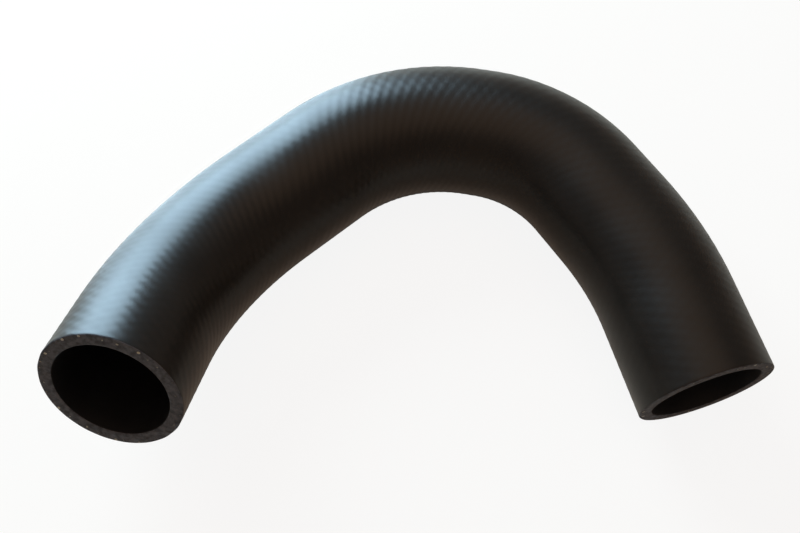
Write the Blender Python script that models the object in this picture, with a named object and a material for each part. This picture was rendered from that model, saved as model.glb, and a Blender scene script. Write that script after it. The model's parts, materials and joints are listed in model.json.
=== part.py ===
"""Charge air hose: one moulded rubber hose with a thick wall, swept round four bends.

It lies as it comes to rest. The right leg, the crown and the left leg lie flat on the floor, and
the left end rises from it. Units are metres, +Z up. The origin is on the floor under the middle of
the hose's bounding box, +X points to the right and +Y away from both mouths, towards the crown.
"""

import math
from typing import NamedTuple

import bmesh
import bpy
from mathutils import Matrix, Vector

# The tube's section
BORE_DIAMETER = 0.050
WALL = 0.006

# The knit: the yarn moulded into the wall shows on the skin as a lattice of low bumps. They stand
# in columns along the hose, and every other column is half a pitch on
KNIT_PITCH = 0.005
KNIT_COLUMN_PAIRS = 16
KNIT_HEIGHT = 0.0003

# The centre line, from the right mouth to the left one: straight lengths, and bends by the radius
# of the centre line, the turn seen from above and the rise out of the flat
RIGHT_MOUTH_HEADING = math.radians(106.5)
RIGHT_END_LENGTH = 0.043
SHOULDER_RADIUS = 0.155
SHOULDER_TURN = math.radians(18)
RIGHT_LEG_LENGTH = 0.021
RIGHT_CROWN_RADIUS = 0.075
RIGHT_CROWN_TURN = math.radians(45)
CROWN_LENGTH = 0.005
LEFT_CROWN_RADIUS = 0.090
LEFT_CROWN_TURN = math.radians(50)
LEFT_LEG_LENGTH = 0.034
LIFT_RADIUS = 0.118
LIFT_TURN = math.radians(38)
LIFT_RISE = math.radians(26)
LEFT_END_LENGTH = 0.034

# The mandrel that the bore is cut with: how far it stands out of each end, and how fine it is
MANDREL_OVERHANG = 0.010
MANDREL_SIDES = 24
MANDREL_BEND_STEP = math.radians(9)

OUTER_RADIUS = BORE_DIAMETER / 2 + WALL

RUBBER_COLOUR = (0.014, 0.013, 0.012, 1.0)
RUBBER_ROUGHNESS = 0.45


class Stretch(NamedTuple):
    """A straight or bent stretch of the centre line. Its frame's columns are side, up and forward."""

    begins: float
    length: float
    start: Vector
    frame: Matrix
    bend_axis: Vector
    bend_radius: float

    def place(self, along):
        """The centre and the frame at this distance along the hose."""
        run = along - self.begins
        if not self.bend_radius:
            return self.start + self.frame.col[2] * run, self.frame
        turned = Matrix.Rotation(run / self.bend_radius, 3, self.bend_axis)
        inwards = self.bend_axis.cross(self.frame.col[2]) * self.bend_radius
        return self.start + inwards - turned @ inwards, turned @ self.frame


def direction(heading, rise):
    level = math.cos(rise)
    return Vector((level * math.cos(heading), level * math.sin(heading), math.sin(rise)))


def centre_line():
    """The stretches in order, each starting where the last one ends."""
    bends = (
        (RIGHT_END_LENGTH, SHOULDER_RADIUS, SHOULDER_TURN, 0.0),
        (RIGHT_LEG_LENGTH, RIGHT_CROWN_RADIUS, RIGHT_CROWN_TURN, 0.0),
        (CROWN_LENGTH, LEFT_CROWN_RADIUS, LEFT_CROWN_TURN, 0.0),
        (LEFT_LEG_LENGTH, LIFT_RADIUS, LIFT_TURN, LIFT_RISE),
    )
    heading, climb = RIGHT_MOUTH_HEADING, 0.0
    forward = direction(heading, climb)
    up = Vector((0, 0, 1))
    centre = Vector((0, 0, 0))
    frame = Matrix((up.cross(forward), up, forward)).transposed()
    stretches = []

    def add(length, axis, radius):
        nonlocal centre, frame
        begins = stretches[-1].begins + stretches[-1].length if stretches else 0.0
        stretches.append(Stretch(begins, length, centre, frame, axis, radius))
        centre, frame = stretches[-1].place(begins + length)

    for straight, radius, turn, rise in bends:
        add(straight, up, 0.0)
        before = direction(heading, climb)
        heading, climb = heading + turn, climb + rise
        after = direction(heading, climb)
        add(radius * before.angle(after), before.cross(after).normalized(), radius)
    add(LEFT_END_LENGTH, up, 0.0)
    return stretches


def hose_length(line):
    return line[-1].begins + line[-1].length


def place(line, along):
    """The centre and frame anywhere along the hose, and in line with its ends beyond them."""
    reached = [stretch for stretch in line if stretch.begins <= along]
    return (reached or line)[-1 if reached else 0].place(along)


def ring_point(line, along, radius, angle):
    centre, frame = place(line, along)
    return centre + frame @ Vector((radius * math.cos(angle), radius * math.sin(angle), 0))


def knitted_skin(line):
    """The outer skin as a closed bmesh. Its corners are crests and hollows of the knit, in turn."""
    skin = bmesh.new()
    columns = 2 * KNIT_COLUMN_PAIRS
    steps = 2 * round(hose_length(line) / KNIT_PITCH)
    rings = []
    for step in range(steps + 1):
        along = hose_length(line) * step / steps
        ring = []
        for column in range(columns):
            radius = OUTER_RADIUS - (KNIT_HEIGHT if (step + column) % 2 else 0.0)
            ring.append(skin.verts.new(ring_point(line, along, radius, math.tau * column / columns)))
        rings.append(ring)
    for step in range(steps):
        for column in range(columns):
            beside = (column + 1) % columns
            corners = [rings[step][column], rings[step][beside]]
            corners += [rings[step + 1][beside], rings[step + 1][column]]
            # Two triangles meet along the yarn, which runs from crest to crest
            if (step + column) % 2:
                corners = corners[1:] + corners[:1]
            skin.faces.new(corners[:3])
            skin.faces.new((corners[0], *corners[2:]))
    for ring in (rings[0], rings[-1]):
        skin.faces.new(ring)
    bmesh.ops.recalc_face_normals(skin, faces=skin.faces)
    return skin


def mandrel_stations(line):
    """Where the mandrel has its rings: at each stretch's start and in even steps round its bend."""
    stations = [-MANDREL_OVERHANG]
    for stretch in line:
        turned = stretch.length / stretch.bend_radius if stretch.bend_radius else 0.0
        steps = max(1, math.ceil(turned / MANDREL_BEND_STEP))
        first = 1 if stretch is line[0] else 0
        stations += [stretch.begins + stretch.length * step / steps for step in range(first, steps)]
    return stations + [hose_length(line) + MANDREL_OVERHANG]


def mandrel_core(line):
    """The moulding mandrel as a closed bmesh, longer than the hose at both ends."""
    core = bmesh.new()
    last = None
    for along in mandrel_stations(line):
        angles = [math.tau * side / MANDREL_SIDES for side in range(MANDREL_SIDES)]
        ring = [core.verts.new(ring_point(line, along, BORE_DIAMETER / 2, a)) for a in angles]
        if last:
            for side in range(MANDREL_SIDES):
                after = (side + 1) % MANDREL_SIDES
                core.faces.new((last[side], last[after], ring[after], ring[side]))
        else:
            core.faces.new(ring)
        last = ring
    core.faces.new(last)
    bmesh.ops.recalc_face_normals(core, faces=core.faces)
    return core


def seat_on_floor(shapes):
    """Moves all the shapes together, so that the first one stands centred on the origin."""
    corners = [vert.co for vert in shapes[0].verts]
    low = Vector([min(corner[axis] for corner in corners) for axis in range(3)])
    high = Vector([max(corner[axis] for corner in corners) for axis in range(3)])
    middle = (low + high) / 2
    for shape in shapes:
        bmesh.ops.translate(shape, verts=shape.verts, vec=(-middle.x, -middle.y, -low.z))


def make_object(name, shape):
    mesh = bpy.data.meshes.new(name)
    shape.to_mesh(mesh)
    shape.free()
    made = bpy.data.objects.new(name, mesh)
    bpy.context.scene.collection.objects.link(made)
    return made


def rubber():
    material = bpy.data.materials.new("black_rubber")
    material.use_nodes = True
    shader = material.node_tree.nodes["Principled BSDF"]
    shader.inputs["Base Color"].default_value = RUBBER_COLOUR
    shader.inputs["Roughness"].default_value = RUBBER_ROUGHNESS
    shader.inputs["Metallic"].default_value = 0.0
    material.diffuse_color = RUBBER_COLOUR
    return material


def clear_scene():
    for old in list(bpy.data.objects):
        bpy.data.objects.remove(old, do_unlink=True)


def main():
    clear_scene()
    line = centre_line()
    skin, core = knitted_skin(line), mandrel_core(line)
    seat_on_floor([skin, core])
    hose = make_object("hose", skin)
    mandrel = make_object("mandrel", core)
    mandrel.hide_render = True
    mandrel.display_type = "WIRE"
    bore = hose.modifiers.new("bore", "BOOLEAN")
    bore.operation = "DIFFERENCE"
    bore.object = mandrel
    hose.data.materials.append(rubber())
    hose.data.shade_smooth()
    hose.data.set_sharp_from_angle(angle=math.radians(35))


main()
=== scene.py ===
"""Charge air hose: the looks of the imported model.

A black rubber hose lies on a white floor in the light of one window. The hose is swept along the
part's own centre line by Geometry Nodes: its section is turned round a circle, the knit under the
skin is pressed into it, and the straight tube is bent along the centre line. A second tree sets the
cut ends of the yarn into the two cut faces. All lengths are metres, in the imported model's frame.
"""

import json
import math

import bpy
from mathutils import Matrix, Vector


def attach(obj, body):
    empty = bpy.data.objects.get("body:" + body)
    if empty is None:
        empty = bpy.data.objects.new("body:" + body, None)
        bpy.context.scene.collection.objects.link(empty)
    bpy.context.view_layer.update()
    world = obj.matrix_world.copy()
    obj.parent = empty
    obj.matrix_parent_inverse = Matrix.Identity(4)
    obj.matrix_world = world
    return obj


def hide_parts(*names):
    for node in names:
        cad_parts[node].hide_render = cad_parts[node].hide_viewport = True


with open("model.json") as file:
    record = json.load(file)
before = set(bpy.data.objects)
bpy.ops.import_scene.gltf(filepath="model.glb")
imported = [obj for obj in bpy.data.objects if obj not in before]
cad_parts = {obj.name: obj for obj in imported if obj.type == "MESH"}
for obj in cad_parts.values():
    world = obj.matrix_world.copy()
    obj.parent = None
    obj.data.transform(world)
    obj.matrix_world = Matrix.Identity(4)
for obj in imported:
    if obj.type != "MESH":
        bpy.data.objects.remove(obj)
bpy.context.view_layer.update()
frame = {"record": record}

# The hose's section, as in the part
BORE_RADIUS = 0.025
WALL = 0.006
SKIN_RADIUS = BORE_RADIUS + WALL
LIP_RADIUS = 0.0006

# The centre line from the right mouth to the left one, as in the part: each straight length is
# followed by a bend, given by its radius, its turn seen from above and its rise out of the flat
BENDS = (
    {"straight": 0.043, "radius": 0.155, "turn": math.radians(18), "rise": 0.0},
    {"straight": 0.021, "radius": 0.075, "turn": math.radians(45), "rise": 0.0},
    {"straight": 0.005, "radius": 0.090, "turn": math.radians(50), "rise": 0.0},
    {"straight": 0.034, "radius": 0.118, "turn": math.radians(38), "rise": math.radians(26)},
)
LEFT_END_LENGTH = 0.034
CENTRE_LINE_STEP = 0.001

# The knit that shows through the skin: rows along the hose, columns round it, every other column
# half a row on. One of its two slanting directions stands out more than the other. The knit is
# fainter on the right leg than from the crown on: the last two are distances along the hose
KNIT_PITCH = 0.005
KNIT_COLUMNS = 40
KNIT_HEIGHT = 0.00012
LEADING_YARN_SHARE = 0.62
FAINT_KNIT_SHARE = 0.5
FAINT_KNIT_ENDS = 0.13
FULL_KNIT_BEGINS = 0.20

# The skin's slow unevenness, over the knit
SKIN_WAVER = 0.00012
SKIN_WAVER_SCALE = 28.0

# Fineness of the swept hose
CORNERS_ROUND = 160
SKIN_ROW = 0.00085
BORE_ROW = 0.007
LIP_STEPS = 3
CUT_FACE_ROWS = 5

# The yarn's cut ends, in a ring near the outside of each cut face
YARN_ENDS = 40
YARN_RING_RADIUS = BORE_RADIUS + 0.70 * WALL
YARN_END_RADIUS = 0.00055
YARN_RING_SPREAD = 0.0009
YARN_SEED = 7

# How the ends vary: how far each strays round the ring, as a share of the space between two, and
# how few are pale. The palest is the largest. The least width and the thickness are shares as well
YARN_END_STRAYS = 0.32
YARN_PALENESS_POWER = 2.2
YARN_END_LEAST_SIZE = 0.55
YARN_END_LARGEST_SIZE = 1.5
YARN_END_LEAST_WIDTH = 0.55
YARN_END_THICKNESS = 0.22

# The two colours of each rubber, and of the pale yarn, between which its patches change
SKIN_COLOURS = ((0.0082, 0.0063, 0.0049, 1), (0.0112, 0.0084, 0.0062, 1))
CUT_FACE_COLOURS = ((0.031, 0.034, 0.046, 1), (0.093, 0.100, 0.122, 1))
BORE_COLOURS = ((0.006, 0.007, 0.009, 1), (0.009, 0.010, 0.0125, 1))
YARN_COLOURS = ((0.60, 0.62, 0.62, 1), (0.63, 0.60, 0.44, 1))
BLACKENED_YARN = (0.060, 0.060, 0.060, 1)

# How rough and how shiny each surface is
GLOSSY_SKIN_ROUGHNESS = 0.33
DULL_SKIN_ROUGHNESS = 0.40
SKIN_SHINE = 0.35
CUT_FACE_ROUGHNESS = 0.8
BORE_ROUGHNESS = 0.6
BORE_SHINE = 0.25
YARN_ROUGHNESS = 0.85

# The camera: its place, how far it looks down from the level and how far it turns to the left
CAMERA_PLACE = (-0.0091, -0.2017, 0.4549)
CAMERA_LENS_MM = 45.0
CAMERA_LOOKS_DOWN = math.radians(65.625)
CAMERA_TURNS_LEFT = math.radians(-0.13)

# The floor and the backdrop round it, and how much of them is plain white. The rest is pale paint,
# which takes the light and the hose's shadow, and is about as white in the open. Gloss and glass
# see more of the paint than the camera does. Gloss alone sees the varnish on it, so that the glare
# of the window on the floor shows in the skin too
FLOOR_HALF_WIDTH = 10.0
BACKDROP_HEIGHT = 4.0
WHITE_TO_CAMERA = 0.89
WHITE_IN_GLOSS = 0.10
WHITE = (1, 1, 1, 1)
FLOOR_PAINT = (0.86, 0.77, 0.63, 1)
VARNISH_ROUGHNESS = 0.14
VARNISH_SHINE = 1.0
VARNISH_IOR = 1.8

# The window: the point above the floor that it faces, the way to it from there, and its light. The
# azimuth turns left from +Y
WINDOW_FACES = (0, 0, 0.03)
WINDOW_AZIMUTH = math.radians(30.5)
WINDOW_ELEVATION = math.radians(21)
WINDOW_DISTANCE = 0.9
WINDOW_WIDTH = 0.61
WINDOW_HEIGHT = 0.7
WINDOW_POWER = 21.5
WINDOW_COLOUR = (0.56, 0.81, 1.0)

# The room: a look that points higher than this, from 0 for level to 1 for straight up, begins to
# see the ceiling
WALLS_COLOUR = (0.19, 0.16, 0.14, 1)
CEILING_COLOUR = (0.80, 0.54, 0.37, 1)
CEILING_BEGINS = 0.7


class Wiring:
    """Adds nodes to one tree and joins them."""

    def __init__(self, tree):
        self.tree = tree

    def feed(self, socket, value):
        """Joins another node's socket to this one, or gives it a plain value."""
        if isinstance(value, bpy.types.NodeSocket):
            self.tree.links.new(value, socket)
        else:
            socket.default_value = value

    def node(self, kind, feeds=None, **settings):
        """A new node. feeds gives a value or a socket for each input, by its name or number."""
        made = self.tree.nodes.new(kind)
        for name, value in settings.items():
            setattr(made, name, value)
        for name, value in (feeds or {}).items():
            self.feed(made.inputs[name], value)
        return made

    def math(self, operation, *values):
        kind = "ShaderNodeMath"
        return self.node(kind, dict(enumerate(values)), operation=operation).outputs[0]

    def vector(self, operation, *values):
        kind = "ShaderNodeVectorMath"
        return self.node(kind, dict(enumerate(values)), operation=operation).outputs[0]

    def scaled(self, vector, factor):
        feeds = {"Vector": vector, "Scale": factor}
        return self.node("ShaderNodeVectorMath", feeds, operation="SCALE").outputs[0]

    def remap(self, value, low, high, to_low=0.0, to_high=1.0, kind="SMOOTHSTEP"):
        """value's place between low and high, as a place between to_low and to_high."""
        feeds = {"Value": value, "From Min": low, "From Max": high}
        feeds |= {"To Min": to_low, "To Max": to_high}
        return self.node("ShaderNodeMapRange", feeds, interpolation_type=kind).outputs["Result"]

    def attribute(self, name):
        kind = "GeometryNodeInputNamedAttribute"
        return self.node(kind, {"Name": name}, data_type="FLOAT").outputs["Attribute"]

    def keep(self, geometry, name, value, domain="POINT", data_type="FLOAT"):
        """The geometry with a named attribute of these values."""
        feeds = {"Geometry": geometry, "Name": name, "Value": value}
        kind = "GeometryNodeStoreNamedAttribute"
        return self.node(kind, feeds, domain=domain, data_type=data_type).outputs["Geometry"]


def add_object(name, data):
    """A new object in the scene."""
    made = bpy.data.objects.new(name, data)
    bpy.context.scene.collection.objects.link(made)
    return made


def geometry_tree(name, inputs):
    """A new Geometry Nodes tree with these named inputs, its wiring and its input sockets."""
    tree = bpy.data.node_groups.new(name, "GeometryNodeTree")
    tree.interface.new_socket(name="Geometry", in_out="INPUT", socket_type="NodeSocketGeometry")
    for socket_name, socket_type in inputs:
        tree.interface.new_socket(name=socket_name, in_out="INPUT", socket_type=socket_type)
    tree.interface.new_socket(name="Geometry", in_out="OUTPUT", socket_type="NodeSocketGeometry")
    wiring = Wiring(tree)
    return tree, wiring, wiring.node("NodeGroupInput").outputs


def grow(name, base, tree, values):
    """Runs a tree on the base object and returns what it makes as an object with a plain mesh."""
    modifier = base.modifiers.new(name, "NODES")
    modifier.node_group = tree
    for socket in tree.interface.items_tree:
        if socket.in_out == "INPUT" and socket.name in values:
            modifier[socket.identifier] = values[socket.name]
    graph = bpy.context.evaluated_depsgraph_get()
    mesh = bpy.data.meshes.new_from_object(base.evaluated_get(graph), depsgraph=graph)
    base.modifiers.remove(modifier)
    mesh.name = name
    return add_object(name, mesh)


def polyline(name, points, closed=False):
    """A row of points joined by edges: a guide for a tree, which doesn't stay in the scene."""
    edges = [(at, at + 1) for at in range(len(points) - 1)]
    if closed:
        edges.append((len(points) - 1, 0))
    mesh = bpy.data.meshes.new(name)
    mesh.from_pydata(points, edges, [])
    return add_object(name, mesh)


def direction(heading, rise):
    """The way that turns left from +X by the heading and goes up by the rise."""
    level = math.cos(rise)
    return Vector((level * math.cos(heading), level * math.sin(heading), math.sin(rise)))


def centre_line():
    """Points along the centre line, evenly spaced on each stretch, and its whole length.

    It starts at the right mouth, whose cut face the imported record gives: the mount there lies in
    the middle of the wall, straight above the bore.
    """
    mouth = next(m for m in frame["record"]["mounts"] if m["name"] == "right_end_face")
    forward = -Vector(mouth["axis"])
    heading, climb = math.atan2(forward.y, forward.x), 0.0
    points = [Vector(mouth["pos_m"]) - Vector((0, 0, BORE_RADIUS + WALL / 2))]
    length = 0.0

    def straight_on(distance):
        start = points[-1]
        steps = round(distance / CENTRE_LINE_STEP)
        for step in range(1, steps + 1):
            points.append(start + forward * (distance * step / steps))

    def bend_round(after, radius):
        start = points[-1]
        axis = forward.cross(after).normalized()
        angle = forward.angle(after)
        to_middle = axis.cross(forward) * radius
        steps = round(radius * angle / CENTRE_LINE_STEP)
        for step in range(1, steps + 1):
            turned = Matrix.Rotation(angle * step / steps, 3, axis) @ to_middle
            points.append(start + to_middle - turned)
        return radius * angle

    for bend in BENDS:
        straight_on(bend["straight"])
        length += bend["straight"]
        heading, climb = heading + bend["turn"], climb + bend["rise"]
        after = direction(heading, climb)
        length += bend_round(after, bend["radius"])
        forward = after
    straight_on(LEFT_END_LENGTH)
    return points, length + LEFT_END_LENGTH


def section_outline(length):
    """The wall cut lengthwise: a closed row of points, at (distance from the centre, 0, along)."""
    outline = []

    def run(start, end, spacing):
        count = max(1, round((Vector(end) - Vector(start)).length / spacing))
        for step in range(count):
            share = step / count
            radius = start[0] + (end[0] - start[0]) * share
            along = start[1] + (end[1] - start[1]) * share
            outline.append((radius, 0.0, along))

    def lip(radius, along, first_angle):
        for step in range(LIP_STEPS):
            angle = first_angle + math.radians(90) * step / LIP_STEPS
            outwards, onwards = LIP_RADIUS * math.cos(angle), LIP_RADIUS * math.sin(angle)
            outline.append((radius + outwards, 0.0, along + onwards))

    inner, outer = BORE_RADIUS + LIP_RADIUS, SKIN_RADIUS - LIP_RADIUS
    near, far = LIP_RADIUS, length - LIP_RADIUS
    cut_face_row = (outer - inner) / CUT_FACE_ROWS
    run((SKIN_RADIUS, near), (SKIN_RADIUS, far), SKIN_ROW)
    lip(outer, far, 0.0)
    run((outer, length), (inner, length), cut_face_row)
    lip(inner, far, math.radians(90))
    run((BORE_RADIUS, far), (BORE_RADIUS, near), BORE_ROW)
    lip(inner, near, math.radians(180))
    run((inner, 0.0), (outer, 0.0), cut_face_row)
    lip(outer, near, math.radians(270))
    return outline


def bent_place(wiring, centre, along, radius, turn):
    """Where a point of the straight tube goes when the tube is bent, and the centre line there."""
    feeds = {"Curves": centre, "Length": along}
    spine = wiring.node("GeometryNodeSampleCurve", feeds, mode="LENGTH").outputs
    side = spine["Normal"]
    above = wiring.vector("CROSS_PRODUCT", side, spine["Tangent"])
    sideways = wiring.scaled(side, wiring.math("MULTIPLY", radius, wiring.math("COSINE", turn)))
    upwards = wiring.scaled(above, wiring.math("MULTIPLY", radius, wiring.math("SINE", turn)))
    off_centre = wiring.vector("ADD", sideways, upwards)
    return wiring.vector("ADD", spine["Position"], off_centre), spine


def knit_relief(wiring, along, turn, sizes):
    """How far the knit lets the skin sink below its crests, over the straight tube."""
    rows = wiring.math("MULTIPLY", wiring.math("DIVIDE", along, sizes["Knit Pitch"]), math.tau)
    columns = wiring.math("MULTIPLY", wiring.math("MULTIPLY", sizes["Knit Columns"], 0.5), turn)
    leading = wiring.math("COSINE", wiring.math("SUBTRACT", rows, columns))
    crossing = wiring.math("COSINE", wiring.math("ADD", rows, columns))
    share = sizes["Leading Yarn Share"]
    leading = wiring.math("MULTIPLY", leading, share)
    crossing = wiring.math("MULTIPLY", crossing, wiring.math("SUBTRACT", 1.0, share))
    wave = wiring.math("ADD", leading, crossing)
    sunk = wiring.math("MULTIPLY", wiring.math("SUBTRACT", 1.0, wave), 0.5)
    fading = (sizes["Faint Knit Ends"], sizes["Full Knit Begins"], sizes["Faint Knit Share"], 1.0)
    height = wiring.math("MULTIPLY", wiring.remap(along, *fading), sizes["Knit Height"])
    return wiring.math("MULTIPLY", sunk, height)


def hose_tree():
    """The tree that makes the hose from its centre line and the outline of its section."""
    tree, wiring, sizes = geometry_tree(
        "swept_hose",
        (
            ("Outline", "NodeSocketObject"),
            ("Corners Round", "NodeSocketInt"),
            ("Hose Length", "NodeSocketFloat"),
            ("Skin Radius", "NodeSocketFloat"),
            ("Bore Radius", "NodeSocketFloat"),
            ("Lip Radius", "NodeSocketFloat"),
            ("Knit Pitch", "NodeSocketFloat"),
            ("Knit Columns", "NodeSocketInt"),
            ("Knit Height", "NodeSocketFloat"),
            ("Leading Yarn Share", "NodeSocketFloat"),
            ("Faint Knit Share", "NodeSocketFloat"),
            ("Faint Knit Ends", "NodeSocketFloat"),
            ("Full Knit Begins", "NodeSocketFloat"),
            ("Waver", "NodeSocketFloat"),
            ("Waver Scale", "NodeSocketFloat"),
            ("Skin", "NodeSocketMaterial"),
            ("Cut Face", "NodeSocketMaterial"),
            ("Bore", "NodeSocketMaterial"),
        ),
    )
    centre = wiring.node("GeometryNodeMeshToCurve", {"Mesh": sizes["Geometry"]}).outputs["Curve"]

    # The straight tube: the outline is turned round a circle
    given = wiring.node("GeometryNodeObjectInfo", {"Object": sizes["Outline"]})
    position = wiring.node("GeometryNodeInputPosition").outputs["Position"]
    corner = wiring.node("ShaderNodeSeparateXYZ", {"Vector": position}).outputs
    outline = wiring.keep(given.outputs["Geometry"], "reach", corner["X"])
    outline = wiring.keep(outline, "along", corner["Z"])
    outline = wiring.node("GeometryNodeMeshToCurve", {"Mesh": outline}).outputs["Curve"]
    feeds = {"Resolution": sizes["Corners Round"]}
    circle = wiring.node("GeometryNodeCurvePrimitiveCircle", feeds).outputs["Curve"]
    index = wiring.node("GeometryNodeInputIndex").outputs["Index"]
    turn = wiring.math("MULTIPLY", wiring.math("DIVIDE", index, sizes["Corners Round"]), math.tau)
    feeds = {"Curve": wiring.keep(circle, "turn", turn), "Profile Curve": outline}
    tube = wiring.node("GeometryNodeCurveToMesh", feeds).outputs["Mesh"]

    # The knit is pressed into the skin, and the tube is bent along its centre line
    reach, along, turn = (wiring.attribute(name) for name in ("reach", "along", "turn"))
    inside_lip = wiring.math("SUBTRACT", sizes["Skin Radius"], sizes["Lip Radius"])
    on_skin = wiring.remap(reach, inside_lip, sizes["Skin Radius"])
    sunk = wiring.math("MULTIPLY", knit_relief(wiring, along, turn, sizes), on_skin)
    place, _ = bent_place(wiring, centre, along, reach, turn)
    feeds = {"Vector": place, "Scale": sizes["Waver Scale"], "Detail": 2.0}
    waver = wiring.node("ShaderNodeTexNoise", feeds).outputs["Fac"]
    waver = wiring.math("MULTIPLY", wiring.math("MULTIPLY", waver, sizes["Waver"]), on_skin)
    reach = wiring.math("SUBTRACT", wiring.math("SUBTRACT", reach, sunk), waver)
    place, _ = bent_place(wiring, centre, along, reach, turn)
    feeds = {"Geometry": tube, "Position": place}
    tube = wiring.node("GeometryNodeSetPosition", feeds).outputs["Geometry"]
    tube = wiring.keep(tube, "UVMap", unrolled_place(wiring, along, turn), "CORNER", "FLOAT2")
    tube = wiring.node("GeometryNodeSetShadeSmooth", {"Geometry": tube}).outputs["Geometry"]
    tube = wiring.node("GeometryNodeRealizeInstances", {"Geometry": tube}).outputs["Geometry"]

    # The two cut faces lie at the ends of the hose, and the bore within the lips
    half_lip = wiring.math("MULTIPLY", sizes["Lip Radius"], 0.5)
    middle = wiring.math("MULTIPLY", sizes["Hose Length"], 0.5)
    from_middle = wiring.math("ABSOLUTE", wiring.math("SUBTRACT", along, middle))
    reach = wiring.attribute("reach")
    at_end = wiring.math("GREATER_THAN", from_middle, wiring.math("SUBTRACT", middle, half_lip))
    in_bore = wiring.math("LESS_THAN", reach, wiring.math("ADD", sizes["Bore Radius"], half_lip))
    in_bore = wiring.math("MULTIPLY", in_bore, wiring.math("SUBTRACT", 1.0, at_end))
    for selection, material in ((1.0, "Skin"), (at_end, "Cut Face"), (in_bore, "Bore")):
        chosen = wiring.math("GREATER_THAN", selection, 0.5)
        feeds = {"Geometry": tube, "Selection": chosen, "Material": sizes[material]}
        tube = wiring.node("GeometryNodeSetMaterial", feeds).outputs["Geometry"]
    wiring.node("NodeGroupOutput", {"Geometry": tube})
    return tree


def unrolled_place(wiring, along, turn):
    """The skin rolled out flat, in shares of a turn and metres along, with no jump at the seam.

    On the faces that close the tube, a corner at the turn's start lies more than a quarter turn
    behind the face's middle. It gets a whole turn more.
    """
    kind = "GeometryNodeFieldOnDomain"
    share = wiring.math("DIVIDE", turn, math.tau)
    middle = wiring.node(kind, {"Value": share}, domain="FACE", data_type="FLOAT").outputs["Value"]
    behind = wiring.math("GREATER_THAN", wiring.math("SUBTRACT", middle, share), 0.25)
    share = wiring.math("ADD", share, behind)
    return wiring.node("ShaderNodeCombineXYZ", {"X": share, "Y": along}).outputs["Vector"]


def yarn_tree():
    """The tree that sets the yarn's cut ends into both cut faces of the hose."""
    tree, wiring, sizes = geometry_tree(
        "yarn_ends",
        (
            ("Ends", "NodeSocketInt"),
            ("Hose Length", "NodeSocketFloat"),
            ("Ring Radius", "NodeSocketFloat"),
            ("Ring Spread", "NodeSocketFloat"),
            ("End Radius", "NodeSocketFloat"),
            ("Seed", "NodeSocketInt"),
            ("Yarn", "NodeSocketMaterial"),
        ),
    )
    centre = wiring.node("GeometryNodeMeshToCurve", {"Mesh": sizes["Geometry"]}).outputs["Curve"]

    def random(low, high, draw):
        """A random number for each end. Each draw has a number of its own."""
        node = wiring.node("FunctionNodeRandomValue", data_type="FLOAT")
        feeds = {"Min": low, "Max": high, "Seed": wiring.math("ADD", sizes["Seed"], draw)}
        for socket in node.inputs:
            if socket.enabled and socket.name in feeds:
                wiring.feed(socket, feeds[socket.name])
        return next(socket for socket in node.outputs if socket.enabled)

    # The ends' places: the first half of the points is at the right mouth, the rest at the left
    both = wiring.math("MULTIPLY", sizes["Ends"], 2)
    points = wiring.node("GeometryNodePoints", {"Count": both}).outputs["Points"]
    index = wiring.node("GeometryNodeInputIndex").outputs["Index"]
    at_left = wiring.math("GREATER_THAN", index, wiring.math("SUBTRACT", sizes["Ends"], 0.5))
    along = wiring.math("MULTIPLY", at_left, sizes["Hose Length"])
    column = wiring.math("ADD", index, random(-YARN_END_STRAYS, YARN_END_STRAYS, 1))
    turn = wiring.math("MULTIPLY", wiring.math("DIVIDE", column, sizes["Ends"]), math.tau)
    off_ring = wiring.math("MULTIPLY", sizes["Ring Spread"], random(-1.0, 1.0, 2))
    radius = wiring.math("ADD", sizes["Ring Radius"], off_ring)
    place, spine = bent_place(wiring, centre, along, radius, turn)
    feeds = {"Geometry": points, "Position": place}
    points = wiring.node("GeometryNodeSetPosition", feeds).outputs["Geometry"]
    paleness = wiring.math("POWER", random(0.0, 1.0, 3), YARN_PALENESS_POWER)
    points = wiring.keep(points, "paleness", paleness)

    # A flat tuft for each, turned any way in the cut face
    feeds = {"Radius": sizes["End Radius"], "Subdivisions": 2}
    tuft = wiring.node("GeometryNodeMeshIcoSphere", feeds).outputs["Mesh"]
    kind, feeds = "FunctionNodeAlignRotationToVector", {"Vector": spine["Tangent"]}
    facing = wiring.node(kind, feeds, axis="Z").outputs["Rotation"]
    kind, feeds = "FunctionNodeAxisAngleToRotation", {"Axis": (0, 0, 1)}
    twist = wiring.node(kind, feeds | {"Angle": random(0.0, math.tau, 4)}).outputs["Rotation"]
    kind, feeds = "FunctionNodeRotateRotation", {"Rotation": facing, "Rotate By": twist}
    twisted = wiring.node(kind, feeds, rotation_space="LOCAL").outputs["Rotation"]
    extremes = (YARN_END_LEAST_SIZE, YARN_END_LARGEST_SIZE)
    size = wiring.remap(wiring.attribute("paleness"), 0.0, 1.0, *extremes, "LINEAR")
    width = wiring.math("MULTIPLY", size, random(YARN_END_LEAST_WIDTH, 1.0, 5))
    feeds = {"X": size, "Y": width, "Z": YARN_END_THICKNESS}
    scale = wiring.node("ShaderNodeCombineXYZ", feeds).outputs["Vector"]
    feeds = {"Points": points, "Instance": tuft, "Rotation": twisted, "Scale": scale}
    tufts = wiring.node("GeometryNodeInstanceOnPoints", feeds).outputs["Instances"]
    tufts = wiring.node("GeometryNodeRealizeInstances", {"Geometry": tufts}).outputs["Geometry"]
    tufts = wiring.node("GeometryNodeSetShadeSmooth", {"Geometry": tufts}).outputs["Geometry"]
    feeds = {"Geometry": tufts, "Material": sizes["Yarn"]}
    tufts = wiring.node("GeometryNodeSetMaterial", feeds).outputs["Geometry"]
    wiring.node("NodeGroupOutput", {"Geometry": tufts})
    return tree


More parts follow.
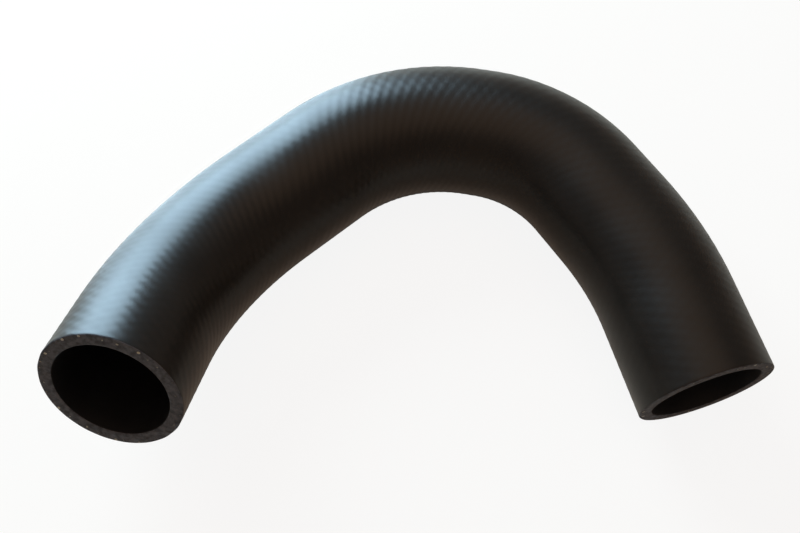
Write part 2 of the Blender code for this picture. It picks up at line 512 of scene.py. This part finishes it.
def rubber_grain_group():
    """Rubber's own unevenness: fine grain for a bump, and slow patches for its colour and gloss."""
    tree = bpy.data.node_groups.new("rubber_grain", "ShaderNodeTree")
    for way, names in (("INPUT", ("Grain Scale", "Patch Scale")), ("OUTPUT", ("Grain", "Patches"))):
        for name in names:
            tree.interface.new_socket(name=name, in_out=way, socket_type="NodeSocketFloat")
    wiring = Wiring(tree)
    given = wiring.node("NodeGroupInput").outputs
    place = wiring.node("ShaderNodeTexCoord").outputs["Object"]
    feeds = {"Vector": place, "Scale": given["Grain Scale"], "Detail": 3.0, "Roughness": 0.6}
    grain = wiring.node("ShaderNodeTexNoise", feeds).outputs["Fac"]
    feeds = {"Vector": place, "Scale": given["Patch Scale"], "Detail": 4.0, "Roughness": 0.55}
    patches = wiring.node("ShaderNodeTexNoise", feeds).outputs["Fac"]
    patches = wiring.remap(patches, low=0.3, high=0.7)
    wiring.node("NodeGroupOutput", {"Grain": grain, "Patches": patches})
    return tree


def grained_material(name, grain_group, grain_scale, patch_scale):
    """A new material with the grain in it, its wiring, its shader and the grain's outputs."""
    material = bpy.data.materials.new(name)
    material.use_nodes = True
    wiring = Wiring(material.node_tree)
    feeds = {"Grain Scale": grain_scale, "Patch Scale": patch_scale}
    grain = wiring.node("ShaderNodeGroup", feeds, node_tree=grain_group).outputs
    return material, wiring, material.node_tree.nodes["Principled BSDF"], grain


def set_shader(wiring, shader, colour, roughness):
    """Sets or joins the shader's colour and roughness."""
    wiring.feed(shader.inputs["Base Color"], colour)
    wiring.feed(shader.inputs["Roughness"], roughness)


def roughen(wiring, shader, grain, strength, depth):
    """Gives the shader the grain as a bump."""
    feeds = {"Strength": strength, "Distance": depth, "Height": grain["Grain"]}
    wiring.feed(shader.inputs["Normal"], wiring.node("ShaderNodeBump", feeds).outputs["Normal"])


def mixed(wiring, share, first, second):
    """A colour between two colours, by a share from 0 to 1."""
    node = wiring.node("ShaderNodeMix", {"Factor": share}, data_type="RGBA")
    colours = [socket for socket in node.inputs if socket.enabled and socket.type == "RGBA"]
    for socket, colour in zip(colours, (first, second)):
        wiring.feed(socket, colour)
    return next(socket for socket in node.outputs if socket.enabled)


def skin_rubber(grain_group):
    """Satin black rubber, a little browner and duller in slow patches."""
    made = grained_material("skin_rubber", grain_group, grain_scale=1400.0, patch_scale=32.0)
    material, wiring, shader, grain = made
    colour = mixed(wiring, grain["Patches"], *SKIN_COLOURS)
    extremes = (GLOSSY_SKIN_ROUGHNESS, DULL_SKIN_ROUGHNESS)
    roughness = wiring.remap(grain["Patches"], 0.0, 1.0, *extremes, "LINEAR")
    set_shader(wiring, shader, colour, roughness)
    roughen(wiring, shader, grain, strength=0.12, depth=0.0002)
    shader.inputs["Specular IOR Level"].default_value = SKIN_SHINE
    return material


def cut_rubber(grain_group):
    """The cut faces: dull dark grey rubber, rough from the knife and mottled by the yarn in it."""
    made = grained_material("cut_rubber", grain_group, grain_scale=900.0, patch_scale=420.0)
    material, wiring, shader, grain = made
    colour = mixed(wiring, grain["Patches"], *CUT_FACE_COLOURS)
    set_shader(wiring, shader, colour, CUT_FACE_ROUGHNESS)
    roughen(wiring, shader, grain, strength=0.5, depth=0.0004)
    return material


def bore_rubber(grain_group):
    """The bore: black rubber, smoother than the cut faces."""
    made = grained_material("bore_rubber", grain_group, grain_scale=700.0, patch_scale=60.0)
    material, wiring, shader, grain = made
    colour = mixed(wiring, grain["Patches"], *BORE_COLOURS)
    set_shader(wiring, shader, colour, BORE_ROUGHNESS)
    roughen(wiring, shader, grain, strength=0.2, depth=0.0003)
    shader.inputs["Specular IOR Level"].default_value = BORE_SHINE
    return material


def pale_yarn(grain_group):
    """The yarn's cut ends, from ones that the rubber has blackened to pale straw grey."""
    made = grained_material("pale_yarn", grain_group, grain_scale=5000.0, patch_scale=900.0)
    material, wiring, shader, grain = made
    paleness = wiring.node("ShaderNodeAttribute", attribute_name="paleness").outputs["Fac"]
    speckle = wiring.remap(grain["Grain"], low=0.2, high=0.7, to_low=0.5)
    share = wiring.math("MULTIPLY", paleness, speckle)
    pale = mixed(wiring, grain["Patches"], *YARN_COLOURS)
    colour = mixed(wiring, share, BLACKENED_YARN, pale)
    set_shader(wiring, shader, colour, YARN_ROUGHNESS)
    roughen(wiring, shader, grain, strength=0.6, depth=0.0001)
    return material


def dress_hose():
    """The hose and its yarn ends, in place of the plain solid."""
    grain = rubber_grain_group()
    points, length = centre_line()
    centre = polyline("centre_line", points)
    outline = polyline("section_outline", section_outline(length), closed=True)
    hose = grow(
        "hose_rubber",
        centre,
        hose_tree(),
        {
            "Outline": outline,
            "Corners Round": CORNERS_ROUND,
            "Hose Length": length,
            "Skin Radius": SKIN_RADIUS,
            "Bore Radius": BORE_RADIUS,
            "Lip Radius": LIP_RADIUS,
            "Knit Pitch": KNIT_PITCH,
            "Knit Columns": KNIT_COLUMNS,
            "Knit Height": KNIT_HEIGHT,
            "Leading Yarn Share": LEADING_YARN_SHARE,
            "Faint Knit Share": FAINT_KNIT_SHARE,
            "Faint Knit Ends": FAINT_KNIT_ENDS,
            "Full Knit Begins": FULL_KNIT_BEGINS,
            "Waver": SKIN_WAVER,
            "Waver Scale": SKIN_WAVER_SCALE,
            "Skin": skin_rubber(grain),
            "Cut Face": cut_rubber(grain),
            "Bore": bore_rubber(grain),
        },
    )
    yarn = grow(
        "yarn_ends",
        centre,
        yarn_tree(),
        {
            "Ends": YARN_ENDS,
            "Hose Length": length,
            "Ring Radius": YARN_RING_RADIUS,
            "Ring Spread": YARN_RING_SPREAD,
            "End Radius": YARN_END_RADIUS,
            "Seed": YARN_SEED,
            "Yarn": pale_yarn(grain),
        },
    )
    for guide in (centre, outline):
        bpy.data.objects.remove(guide, do_unlink=True)
    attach(hose, "root")
    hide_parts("hose")
    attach(yarn, "root")


def share_of_white(wiring, path):
    """How much plain white a ray sees: the camera's own rays, and those of gloss and glass."""
    gloss_or_glass = wiring.math("MAXIMUM", path["Is Glossy Ray"], path["Is Transmission Ray"])
    in_gloss = wiring.math("MULTIPLY", gloss_or_glass, WHITE_IN_GLOSS)
    to_camera = wiring.math("MULTIPLY", path["Is Camera Ray"], WHITE_TO_CAMERA)
    return wiring.math("MAXIMUM", to_camera, in_gloss)


def pale_floor():
    """Plain white over pale paint, which is varnished for gloss alone."""
    material = bpy.data.materials.new("pale_floor")
    material.use_nodes = True
    material.node_tree.nodes.clear()
    wiring = Wiring(material.node_tree)
    path = wiring.node("ShaderNodeLightPath").outputs
    matt = wiring.node("ShaderNodeBsdfDiffuse", {"Color": FLOOR_PAINT}).outputs["BSDF"]
    feeds = {"Base Color": FLOOR_PAINT, "Roughness": VARNISH_ROUGHNESS}
    feeds |= {"Specular IOR Level": VARNISH_SHINE, "IOR": VARNISH_IOR}
    varnished = wiring.node("ShaderNodeBsdfPrincipled", feeds).outputs["BSDF"]
    feeds = {"Fac": path["Is Glossy Ray"], 1: matt, 2: varnished}
    paint = wiring.node("ShaderNodeMixShader", feeds).outputs["Shader"]
    feeds = {"Color": WHITE, "Strength": 1.0}
    white = wiring.node("ShaderNodeEmission", feeds).outputs["Emission"]
    feeds = {"Fac": share_of_white(wiring, path), 1: paint, 2: white}
    surface = wiring.node("ShaderNodeMixShader", feeds).outputs["Shader"]
    wiring.node("ShaderNodeOutputMaterial", {"Surface": surface})
    return material


def lay_floor():
    """A square floor with a far backdrop round it, which low views see behind the hose."""
    half = FLOOR_HALF_WIDTH
    corners = [(-half, -half, 0), (half, -half, 0), (half, half, 0), (-half, half, 0)]
    corners += [(x, y, BACKDROP_HEIGHT) for x, y, _ in corners]
    walls = [((at + 1) % 4, at, at + 4, (at + 1) % 4 + 4) for at in range(4)]
    mesh = bpy.data.meshes.new("floor")
    mesh.from_pydata(corners, [], [(0, 1, 2, 3), *walls])
    mesh.materials.append(pale_floor())
    floor = add_object("floor", mesh)


def hang_window():
    """The window: a soft light behind the hose on the left."""
    light = bpy.data.lights.new("window", "AREA")
    light.shape = "RECTANGLE"
    light.size = WINDOW_WIDTH
    light.size_y = WINDOW_HEIGHT
    light.energy = WINDOW_POWER
    light.color = WINDOW_COLOUR
    window = add_object("window", light)
    towards = direction(math.radians(90) + WINDOW_AZIMUTH, WINDOW_ELEVATION)
    window.location = Vector(WINDOW_FACES) + towards * WINDOW_DISTANCE
    window.rotation_euler = towards.to_track_quat("Z", "Y").to_euler()


def light_room():
    """A dim warm room all round, which is lighter overhead."""
    world = bpy.data.worlds.new("room")
    world.use_nodes = True
    world.node_tree.nodes.clear()
    wiring = Wiring(world.node_tree)
    towards = wiring.node("ShaderNodeTexCoord").outputs["Generated"]
    height = wiring.node("ShaderNodeSeparateXYZ", {"Vector": towards}).outputs["Z"]
    overhead = wiring.remap(height, CEILING_BEGINS, 1.0)
    feeds = {"Color": mixed(wiring, overhead, WALLS_COLOUR, CEILING_COLOUR), "Strength": 1.0}
    background = wiring.node("ShaderNodeBackground", feeds).outputs["Background"]
    wiring.node("ShaderNodeOutputWorld", {"Surface": background})
    bpy.context.scene.world = world


def place_camera():
    data = bpy.data.cameras.new("camera")
    data.lens = CAMERA_LENS_MM
    camera = add_object("camera", data)
    camera.location = CAMERA_PLACE
    camera.rotation_euler = (math.radians(90) - CAMERA_LOOKS_DOWN, 0, CAMERA_TURNS_LEFT)
    bpy.context.scene.camera = camera


place_camera()
dress_hose()
lay_floor()
hang_window()
light_room()
bpy.context.scene.view_settings.view_transform = "Standard"
